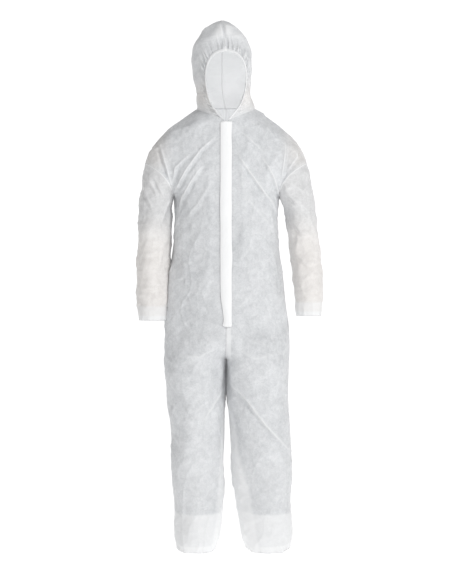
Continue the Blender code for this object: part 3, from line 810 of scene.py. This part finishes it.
def tucked_hem(grid, side):
    """The lowest rows drawn in a little by the ankle elastic, with the hem's corners rounded."""
    height = grid[:, :, 2] + NECK
    middle = side * (outer_side(0.0) + inner_side(0.0)) / 2
    half = (outer_side(0.0) - inner_side(0.0)) / 2
    pull = ANKLE_PULL * ease((0.040 - height) / 0.040)
    moved = grid.copy()
    moved[:, :, 0] += (middle - grid[:, :, 0]) * pull
    moved[:, :, 1] -= grid[:, :, 1] * pull
    corner = ease((np.abs(grid[:, :, 0] - middle) / half - 0.72) / 0.28)
    moved[:, :, 2] += HEM_CORNER * corner * ease((0.06 - height) / 0.06)
    return moved


def body_surface(facing, side):
    """A body panel's outside as it is worn, then its smooth form and its fold crests."""
    grid = mirrored(body_grid(facing), side)
    relief, crest = body_relief(grid, facing, side)
    worn = raised(grid, (side * 0.5, facing, 0), relief)
    return swayed(tucked_hem(worn, side), "body"), grid, crest


def make_body():
    hem_rows = int(HEM_DEEP / ROW_STEP) + 1
    surfaces = {}
    for facing, name in ((-1, "front"), (1, "back")):
        for side_name, side in SIDES:
            worn, plain, crest = body_surface(facing, side)
            surfaces[facing, side] = worn
            outward = (side * 0.5, facing, 0)
            height = plain[:, :, 2] + NECK
            layers = body_layers(plain, facing, side, crest)
            warm = 0.6 * ease((np.abs(plain[:, :, 0]) - 0.17) / 0.08) * ease((height - 1.25) / 0.10)
            fields = {
                "layers": with_hem(layers, hem_rows, HEM_LAYERS),
                "warm": with_hem(warm, hem_rows, 0.0),
            }
            grid = turned_in(worn, raised(worn, outward, -HEM_GAP), hem_rows)
            piece = cloth_piece(f"{name}_{side_name}", grid, CLOTH_WHITE, outward, fields,
                                lining=BACK_LINING if facing > 0 else None)
            carried(piece, "suit_body", "nonwoven", f"{name}_panel_{side_name}")
    return surfaces


# ---- Hood ---------------------------------------------------------------------------------------
# Slices of the left hood panel, from the face back. Each runs from the neck up, as (x, y, height) points.
HOOD_SLICES = [
    [(ZIP_HALF, -FRONT_AT_THROAT, THROAT), (0.034, -0.100, 1.495), (0.054, -0.099, 1.527),
     (0.066, -0.094, 1.577), (0.066, -0.090, 1.625), (0.056, -0.085, 1.662), (0.033, -0.081, 1.687),
     (CENTRE, -0.079, 1.697)],
    [(0.062, -0.072, 1.489), (0.083, -0.062, 1.530), (0.087, -0.054, 1.580), (0.094, -0.048, 1.640),
     (0.093, -0.045, 1.695), (0.077, -0.044, 1.742), (0.041, -0.043, 1.776), (CENTRE, -0.042, 1.789)],
    [(NECK_HALF, 0.000, 1.515), (0.094, 0.004, 1.560), (0.093, 0.008, 1.602), (0.102, 0.012, 1.660),
     (0.100, 0.014, 1.712), (0.083, 0.014, 1.757), (0.041, 0.010, 1.807), (CENTRE, 0.006, 1.822)],
    [(0.066, 0.062, 1.527), (0.071, 0.074, 1.570), (0.079, 0.086, 1.620), (0.086, 0.094, 1.672),
     (0.080, 0.094, 1.722), (0.057, 0.086, 1.766), (0.026, 0.077, 1.793), (CENTRE, 0.070, 1.804)],
    [(CENTRE, NAPE_DEPTH, 1.530), (CENTRE, 0.103, 1.570), (CENTRE, 0.121, 1.620), (CENTRE, 0.132, 1.665),
     (CENTRE, 0.135, 1.705), (CENTRE, 0.129, 1.740), (CENTRE, 0.118, 1.765), (CENTRE, 0.104, 1.784)],
]
HOOD_BACK, HOOD_UP = 96, 200
CASING = 0.0122  # width of the hem round the face, which holds the elastic
CASING_GAP = 0.0040  # between the casing's two layers
CASING_ROWS = 7
ELASTIC_ROW = 4  # the casing's row that its elastic lies under
HOOD_CRUMPLE = [(0.0020, 0.075, 96, (1, 1, 1), 0), (0.0018, 0.09, 98, (1, 1, 1), 6.0)]


def hood_grid():
    """The left hood panel: rows run from the face edge back, and columns from the neck up."""
    slices = np.array(HOOD_SLICES, float)
    slices[:, :, 2] = drop(slices[:, :, 2])
    fine = np.array([along(one, np.linspace(0, 1, HOOD_UP)) for one in slices])
    place = np.linspace(0, 1, HOOD_BACK) ** 1.15
    grid = np.stack([along(fine[:, j], place) for j in range(HOOD_UP)], axis=1)
    grid[:, :, 0] = np.maximum(grid[:, :, 0], CENTRE)
    return relaxed(grid, 6)


def hood_relief(grid, side):
    """A smooth casing round the face, the gathers that radiate from it, and soft crumples behind."""
    back = travelled(grid)
    up = travelled(grid[0])[None, :]
    line = np.stack([np.broadcast_to(up, back.shape), back * 0.12, np.zeros_like(back)], axis=-1)
    ridge = 1.6 * np.exp(-np.abs(ripple(line, 0.021, 90 + side, waves=16)) * 2.2) - 0.6
    fine = ripple(line, 0.008, 93 + side, waves=12)
    behind = np.maximum(back - CASING, 0)
    reach = ease(behind / 0.004) * np.exp(-(behind / 0.034) ** 1.5)
    relief = (0.0060 * ridge + 0.0012 * fine) * reach
    bulge = np.sqrt(np.clip(1 - ((back - CASING / 2) / (CASING / 2)) ** 2, 0, 1))
    relief += 0.0013 * bulge - 0.0016 * bell(back - CASING, 0.0014)
    relief += crumple(grid, HOOD_CRUMPLE) * ease(behind / 0.02)
    column = np.linspace(0, 1, grid.shape[1])[None, :]
    row = np.linspace(0, 1, grid.shape[0])[:, None]
    fade = ease((1 - column) / 0.03) * ease(column / 0.03) * ease((1 - row) / 0.04)
    return relief * fade, back


def make_hood():
    smooth = hood_grid()
    surfaces = {}
    for side_name, side in SIDES:
        plain = mirrored(smooth, side)
        relief, back = hood_relief(plain, side)
        worn = swayed(raised(plain, (side, 0, 0), relief), "hood")
        surfaces[side] = worn
        column = np.linspace(0, 1, HOOD_UP)[None, :]
        crown = bell(1 - column, 0.010) * ease((0.10 - back) / 0.05)
        neck = bell(column, 0.012)
        layers = np.maximum(0.85 * ease((CASING - back) / 0.001), 0.55 * np.maximum(crown, neck))
        # Where the gathers stand proud the cloth is drawn whiter in step with their height: a painted
        # highlight. The 0.15 lifts the whole panel.
        layers = np.maximum(layers, 0.15 + 0.65 * np.clip(relief / 0.0045, 0, 1))
        warm = 0.7 * bell(plain[:, :, 2] - drop(1.545), 0.05)
        fields = {
            "layers": with_hem(np.clip(layers, 0, 1), CASING_ROWS, HEM_LAYERS, at_start=True),
            "warm": with_hem(warm, CASING_ROWS, 0.0, at_start=True),
        }
        inside = raised(worn, (side, 0, 0), -CASING_GAP * ease(back / 0.004))
        inside[:, :2] = worn[:, :2]
        inside[:, -2:] = worn[:, -2:]
        grid = turned_in(worn, inside, CASING_ROWS, at_start=True)
        piece = cloth_piece(f"hood_{side_name}", grid, CLOTH_WHITE, (side, 0, 0), fields,
                            lining=HOOD_LINING)
        hood_piece(piece, f"hood_panel_{side_name}")
    left, right = (raised(surfaces[side], (side, 0, 0), -CASING_GAP / 2)[ELASTIC_ROW] for side in (1, -1))
    cord = np.concatenate([left[3:-1], right[-2:2:-1]])
    hood_piece(tube("face_cord", cord, 0.0011, ELASTIC_WHITE, sides=8), "face_elastic", slot="elastic")
    return surfaces


def hood_piece(piece, *nodes, slot="nonwoven"):
    """The piece's transform is baked into its mesh, and it replaces the CAD nodes."""
    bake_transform(piece)
    stands_for(nodes)


# ---- Sleeves ------------------------------------------------------------------------------------
# Rings of the left sleeve: height, x, y, half width, half depth, and degrees that the ring is tilted
SLEEVE_SECTIONS = [
    (1.2702, 0.2295, 0.000, 0.0736, ARMHOLE_DEPTH, 48),
    (1.205, 0.2400, 0.000, 0.0650, 0.080, 30),
    (1.120, 0.2480, -0.002, 0.0590, 0.074, 10),
    (1.010, 0.2560, -0.008, 0.0570, 0.068, 3),
    (0.900, 0.2625, -0.018, 0.0540, 0.062, 2),
    (0.795, 0.2655, -0.030, 0.0480, 0.052, 0),
]
SLEEVE_ROWS, SLEEVE_ROUND = 120, 112
CUFF_ROWS = 6
SLEEVE_UNEVEN = 0.008  # how much higher than drawn the left cuff hangs, and how much lower the right one


def sleeve_grid():
    """The left sleeve as closed rings, from the armhole to the wrist."""
    rings = []
    turn = np.linspace(0, 2 * math.pi, SLEEVE_ROUND, endpoint=False)
    for share in np.linspace(0, 1, SLEEVE_ROWS):
        height, x, y, half, deep, tilt = along(SLEEVE_SECTIONS, share)
        tilt = math.radians(tilt)
        wide = np.array([math.cos(tilt), 0, math.sin(tilt)]) * half
        ring = np.array([x, y, drop(height)]) + np.outer(np.cos(turn), wide)
        ring[:, 1] -= deep * np.sin(turn)
        front = np.array([armhole_hollow(t) if t < math.pi else np.zeros(3) for t in turn])
        rings.append(ring + front * (1 - share) ** 6)
    return np.array(rings)


SLEEVE_CRUMPLE = [
    (0.0028, 0.20, 50, (1, 1, 0.6), 0),
    (0.0016, 0.065, 52, (1, 1, 0.9), 0),
    (0.0026, 0.11, 54, (1, 1, 1.1), 6.0),
    (0.0012, 0.055, 55, (1, 1, 1.1), 5.0),
    (0.0005, 0.024, 56, (1, 1, 1), 0),
]
WRIST_GATHERS = (0.0009, 0.019, 58, (1, 1, 0.10), 0)
SLEEVE_FOLDS = [
    ([(-0.268, 1.283), (-0.228, 1.202)], 0.0060, 0.0045),
    ([(-0.245, 1.275), (-0.205, 1.200)], 0.0060, 0.0045),
    ([(-0.285, 1.250), (-0.250, 1.170)], 0.0060, 0.0045),
    ([(-0.190, 1.200), (-0.215, 1.130), (-0.235, 1.100)], 0.0060, 0.0045),
    ([(-0.205, 1.060), (-0.245, 1.020), (-0.290, 1.010)], 0.0070, 0.0036),
    ([(-0.222, 0.925), (-0.258, 0.898), (-0.300, 0.905)], 0.0070, 0.0032),
    ([(0.205, 1.215), (0.250, 1.170)], 0.0060, 0.0050),
    ([(0.215, 1.250), (0.270, 1.220)], 0.0060, 0.0045),
    ([(0.205, 1.130), (0.240, 1.085), (0.290, 1.075)], 0.0070, 0.0040),
    ([(0.215, 1.010), (0.255, 0.975), (0.300, 0.985)], 0.0070, 0.0042),
    ([(0.225, 0.900), (0.260, 0.880), (0.305, 0.890)], 0.0065, 0.0030),
]


def sleeve_piece(piece, side_name, side, slot, *nodes):
    """The piece's transform is baked into its mesh, and it replaces the CAD nodes."""
    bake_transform(piece)
    stands_for(nodes)


def sleeve_relief(grid, side, share):
    """How far each point of a sleeve stands proud, and the crests of its folds."""
    front = ease(-grid[:, :, 1] / 0.03 + 0.5)
    tall, crest = folds(grid, SLEEVE_FOLDS, side)
    relief = crumple(grid, SLEEVE_CRUMPLE) + tall * front
    relief *= ease(share / 0.06) * (0.35 + 0.65 * ease((0.97 - share) / 0.10))
    wrist = ease((share - 0.82) / 0.18)
    relief += wrist * crumple(grid, [WRIST_GATHERS]) - 0.003 * wrist ** 3
    return relief, crest * front


def make_sleeves():
    smooth = sleeve_grid()
    share = np.linspace(0, 1, SLEEVE_ROWS)[:, None]
    surfaces = {}
    for side_name, side in SIDES:
        plain = mirrored(smooth, side)
        height = plain[:, :, 2] + NECK
        relief, crest = sleeve_relief(plain, side, share)
        worn = raised(plain, (side, 0, 0), relief, closed=True)
        worn[:, :, 2] += side * SLEEVE_UNEVEN * share ** 2
        worn = swayed(worn, f"sleeve_{side_name}")
        surfaces[side] = worn
        # The upper sleeve is left darker than the lower: painted shade, as over the shoulder. The cuff
        # bands and the armhole seam are whiter where the cloth lies double, and fold crests get a painted
        # highlight.
        layers = 0.20 * ease((share - 0.25) / 0.3) + 0.46 * ease((share - 0.905) / 0.006)
        layers = layers + 0.30 * ease((share - 0.965) / 0.006)
        layers = np.maximum(layers + 0.35 * bell(share, 0.012), 0.55 * crest)
        warm = 0.25 + 0.75 * ease((1.17 - height) / 0.15)
        fields = {
            "layers": with_hem(np.clip(layers, 0, 1), CUFF_ROWS, HEM_LAYERS),
            "warm": with_hem(warm, CUFF_ROWS, 1.0),
        }
        inside = raised(worn, (side, 0, 0), -HEM_GAP, closed=True)
        grid = turned_in(worn, inside, CUFF_ROWS)
        piece = cloth_piece(f"sleeve_cloth_{side_name}", grid, CLOTH_WHITE, (side, 0, 0), fields,
                            closed=True)
        sleeve_piece(piece, side_name, side, "nonwoven", f"sleeve_{side_name}")
    return surfaces


# ---- Storm flap and zip -------------------------------------------------------------------------
ZIP_DOWN = Vector((0, -body_front(FORK), drop(FORK))) - Vector((0, -body_front(THROAT), drop(THROAT)))
ZIP_DOWN.normalize()
ZIP_UP = ZIP_DOWN.cross(Vector((1, 0, 0))).normalized()


def zip_point(x, height, up):
    """A point by its place across, its height above the hems and its level over the tape."""
    on_line = Vector((x, -body_front(height) - 0.0008, drop(height)))
    return on_line + ZIP_UP * (up - TAPE_UNDER)


def flap_half(height):
    return FLAP_END_HALF + (FLAP_HALF - FLAP_END_HALF) * float(ease((height - FLAP_END) / FLAP_TAPER))


FLAP_CORNER = 0.008  # radius
FLAP_CLOTH = 0.0008  # thickness, as it is doubled
FLAP_KNOB = 0.004  # how far the doubled cloth bulges at the flap's lower free corner
FLAP_CRUMPLE = [(0.0009, 0.09, 120, (1, 1, 1), 0), (0.0008, 0.12, 121, (1, 1, 1), 5.0)]


def make_flap():
    rows = []
    across = np.linspace(-1, 1, 25)
    for height in np.linspace(FLAP_TOP, FLAP_END, 220):
        half = flap_half(height)
        end = min(FLAP_TOP - height, height - FLAP_END, FLAP_CORNER)
        rounding = FLAP_CORNER - math.sqrt(FLAP_CORNER**2 - (FLAP_CORNER - end) ** 2)
        knob = FLAP_KNOB * bell(height - FLAP_END - 0.007, 0.007)
        low, high = FLAP_HALF - 2 * half + 0.7 * rounding - knob, FLAP_HALF - 0.3 * rounding
        up = FLAP_EDGE + (FLAP_CLEAR - FLAP_EDGE) * np.cos(across * math.pi / 2) ** 0.6 + 0.0012
        x = (low + high) / 2 + (high - low) / 2 * across
        rows.append([zip_point(a, height, u) for a, u in zip(x, up)])
    grid = np.array(rows, float)
    edge = np.abs(across)[None, :]
    stitch = bell(edge - 0.72, 0.04)
    relief = np.maximum(crumple(grid, FLAP_CRUMPLE), -0.0002) - 0.0004 * stitch
    grid = raised(grid, (0, -1, 0), relief)
    fields = {"layers": 0.80 + 0.2 * ease((edge - 0.75) / 0.1), "warm": 0.0}
    piece = cloth_piece("flap_cloth", grid, FLAP_WHITE, (0, -1, 0), fields, thickness=FLAP_CLOTH)
    carried(piece, "storm_flap", "flap_nonwoven", "storm_flap")


COIL_PITCH, COIL_STEPS = 0.0016, 6  # rise of one turn, and points in it


def make_zip():
    for side_name, side in SIDES:
        heights = np.linspace(ZIP_TOP, ZIP_END, 60)
        across = np.linspace(0.0010, TAPE_WIDTH, 7)
        grid = np.array([[zip_point(side * x, h, 0.0003 + 0.00015 * math.sin(h * 900)) for x in across]
                         for h in heights], float)
        piece = cloth_piece(f"tape_{side_name}", grid, TAPE_WHITE, (0, -1, 0), {}, thickness=0.0005)
        carried(piece, "suit_body", "zip_tape", f"zip_tape_{side_name}")
        turns = int((ZIP_TOP - ZIP_END - 0.008) / COIL_PITCH)
        angle = np.arange(turns * COIL_STEPS) * 2 * math.pi / COIL_STEPS
        heights = ZIP_TOP - 0.004 - angle / (2 * math.pi) * COIL_PITCH
        coil = [zip_point(side * (0.0020 + 0.0007 * math.cos(a)), h, 0.0015 + 0.0006 * math.sin(a))
                for a, h in zip(angle, heights)]
        piece = tube(f"coil_{side_name}", coil, 0.00026, NYLON_WHITE, sides=4)
        carried(piece, "suit_body", "zip_nylon", f"zip_coil_{side_name}")
    hard = ["zip_slider", "zip_pull_tab", "zip_bottom_stop", "zip_top_stop_left", "zip_top_stop_right"]
    for obj in (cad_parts[node] for node in hard):
        obj.data.materials.clear()
        obj.data.materials.append(NYLON_WHITE)
        soft = obj.modifiers.new("soft edges", "BEVEL")
        soft.width = 0.00018
        soft.segments = 2


# ---- Seams, threads and elastics ----------------------------------------------------------------
THREAD = 0.00028  # radius
THREAD_PITCH = 0.0020  # along the seam, from one crossing of the thread to the next
THREAD_NEAR, THREAD_REACH = 0.0008, 0.0042  # from the seam to the near and the far side of its loops
SEAM_IN = 0.01  # a step from a seam towards the inside, which gives its thread a direction


def overlock(name, line, inner, closed=False):
    """A seam's looped thread, over the cloth's raw edges on the inside: line to inner and back."""
    line, inner = np.array(line, float), np.array(inner, float)
    place = travelled(line)
    at = np.linspace(0, place[-1], max(8, int(place[-1] / THREAD_PITCH)))
    near = np.stack([np.interp(at, place, axis) for axis in line.T], axis=1)
    inward = np.stack([np.interp(at, place, axis) for axis in inner.T], axis=1) - near
    inward /= np.linalg.norm(inward, axis=1)[:, None]
    step = np.where(np.arange(len(at)) % 2 == 0, THREAD_NEAR, THREAD_REACH)[:, None]
    return tube(name, near + inward * step, THREAD, THREAD_WHITE, closed=closed, sides=4)


def welt(name, line, radius, layers, closed=False):
    """The raised line that a seam shows outside."""
    fields = {"layers": layers, "warm": 0.0}
    return tube(name, line, radius, CLOTH_WHITE, closed=closed, sides=8, fields=fields)


def body_seam(seam, line, inner, radius, layers, closed=False, end=""):
    """A seam that rides on the suit; end is its side's part of the names."""
    carried(welt(f"{seam}{end}_welt", line, radius, layers, closed), "suit_body", "nonwoven")
    carried(overlock(f"{seam}{end}_thread", line, inner, closed), "suit_body", "overlock_thread",
            f"{seam}_overlock{end}")


def make_body_seams(body):
    inside = {key: raised(grid, (key[1] * 0.5, key[0], 0), -SEAM_IN) for key, grid in body.items()}
    crotch_row = UPPER_ROWS + int((UNDERARM - CROTCH) / ROW_STEP)
    neck_rows = int(NECK_SHARE * (UPPER_ROWS - 1)) + 1
    for side_name, side in SIDES:
        end = f"_{side_name}"
        front, back = body[-1, side], body[1, side]
        for seam, row, column, way, radius, white in (
            ("side_seam", UPPER_ROWS - 1, -1, -side, 0.0007, 0.35),
            ("inseam", crotch_row, 0, side, 0.0006, 0.60),
        ):
            line = (front[row:-5, column] + back[row:-5, column]) / 2
            layers = np.clip(white + leg_layers(line[:, 2] + NECK), 0, 1)
            body_seam(seam, line, line + (way * SEAM_IN, 0, 0), radius, layers, end=end)
        ring, ring_in = (
            np.concatenate([grids[-1, side][:UPPER_ROWS, -1], grids[1, side][UPPER_ROWS - 2:0:-1, -1]])
            for grids in (body, inside)
        )
        body_seam("armhole", ring, ring_in, 0.0014, 1.0, closed=True, end=end)
        line = (front[0, 2:-2] + back[0, 2:-2]) / 2
        body_seam("shoulder_seam", line, line - (0, 0, SEAM_IN), 0.0007, 0.4, end=end)
    middle = body[1, 1][neck_rows:crotch_row, 0].copy()
    middle[:, 0] = 0
    body_seam("centre_back", middle, middle - (0, SEAM_IN, 0), 0.0007, 0.4)
    left, right = (
        np.concatenate([body[-1, side][neck_rows:0:-1, 0], body[1, side][:neck_rows, 0]])
        for side in (1, -1)
    )
    line = np.concatenate([left, right[::-1][1:]])
    body_seam("neck_seam", line, line - (0, 0, SEAM_IN) - line * (0.08, 0.08, 0), 0.0009, 0.45)


def make_hood_seam(hood):
    line, other = (np.concatenate([hood[side][3:, -1], hood[side][-1, -2:2:-1]]) for side in (1, -1))
    line[:, 0] = (line[:, 0] + other[:, 0]) / 2
    middle = np.array([-0.012, 0.02, drop(1.66)])
    hood_piece(welt("hood_seam_welt", line, 0.0008, 0.7))
    hood_piece(overlock("hood_seam_thread", line, middle + (line - middle) * 0.9), "hood_centre_overlock",
               slot="overlock_thread")


def make_sleeve_seams(sleeves):
    """The underarm seam of each sleeve, down the point of each ring that is nearest the body."""
    underarm = slice(2, -3), SLEEVE_ROUND // 2
    for side_name, side in SIDES:
        grid = sleeves[side]
        line = grid[underarm]
        inner = raised(grid, (side, 0, 0), -SEAM_IN, closed=True)[underarm]
        sleeve_piece(welt(f"sleeve_seam_{side_name}_welt", line, 0.0006, 0.45), side_name, side, "nonwoven")
        sleeve_piece(overlock(f"sleeve_seam_{side_name}_thread", line, inner), side_name, side,
                     "overlock_thread", f"sleeve_seam_overlock_{side_name}")


ELASTIC_IN = HEM_GAP / 2 - 0.0002  # how far under the cloth the elastics lie
ELASTIC = 0.0007  # thickness
ANKLE_ROWS, CUFF_HEM_ROWS = slice(-5, -2), slice(-6, -2)  # the rows that the elastics lie under


def elastic_band(name, grid, outward, closed=False):
    """A flat elastic on the inside of the cloth."""
    band = cloth_piece(name, grid, ELASTIC_WHITE, outward, {}, thickness=ELASTIC, closed=closed)
    return band


def make_elastics(body, sleeves):
    inside = {key: raised(grid, (key[1] * 0.5, key[0], 0), -ELASTIC_IN) for key, grid in body.items()}
    waist = UPPER_ROWS + int((UNDERARM - WAIST) / ROW_STEP)
    for side_name, side in SIDES:
        ring = np.concatenate([inside[-1, side][ANKLE_ROWS], inside[1, side][ANKLE_ROWS, -2:0:-1]], axis=1)
        band = elastic_band(f"ankle_band_{side_name}", ring, (0, -side, 0), closed=True)
        carried(band, "suit_body", "elastic", f"ankle_elastic_{side_name}")
        ring = raised(sleeves[side], (side, 0, 0), -ELASTIC_IN, closed=True)[CUFF_HEM_ROWS]
        band = elastic_band(f"wrist_band_{side_name}", ring, (side, 0, 0), closed=True)
        sleeve_piece(band, side_name, side, "elastic", f"wrist_elastic_{side_name}")
    rows = slice(waist - 1, waist + 2)
    strip = np.concatenate([inside[1, -1][rows, :3:-1], inside[1, 1][rows, 4:]], axis=1)
    band = elastic_band("waist_band", strip, (0, 1, 0))
    carried(band, "suit_body", "elastic", "waist_elastic")


make_camera()
make_stage()
make_light()

# The insides are a lighter copy of the cloth and they glow: painted light that lifts the shade inside the
# hood and behind the neck, with the back panels' inside glowing most.
LIT_LINING = [(0.80, 0.81, 0.81), (0.94, 0.94, 0.94), (0.95, 0.95, 0.95), (0.80, 0.80, 0.80),
          (0.94, 0.94, 0.94)]
CLOTH_WHITE = nonwoven("nonwoven_cloth", (0.53, 0.545, 0.56), (0.82, 0.83, 0.845), (0.91, 0.915, 0.92),
                       (0.68, 0.645, 0.615), (0.90, 0.87, 0.845))
HOOD_LINING = nonwoven("hood_inside", *LIT_LINING, glow_for_light_through=0.155)
BACK_LINING = nonwoven("back_inside", *LIT_LINING, glow_for_light_through=0.30)
FLAP_WHITE = nonwoven("flap_cloth", (0.86, 0.87, 0.875), (0.95, 0.955, 0.96), (0.97, 0.975, 0.98),
                      (0.86, 0.87, 0.87), (0.95, 0.95, 0.95))
THREAD_WHITE = thread_material()
ELASTIC_WHITE = elastic_material()
TAPE_WHITE = tape_material()
NYLON_WHITE = nylon_material()

BODY = make_body()
HOOD = make_hood()
SLEEVES = make_sleeves()
make_flap()
make_zip()
make_body_seams(BODY)
make_hood_seam(HOOD)
make_sleeve_seams(SLEEVES)
make_elastics(BODY, SLEEVES)
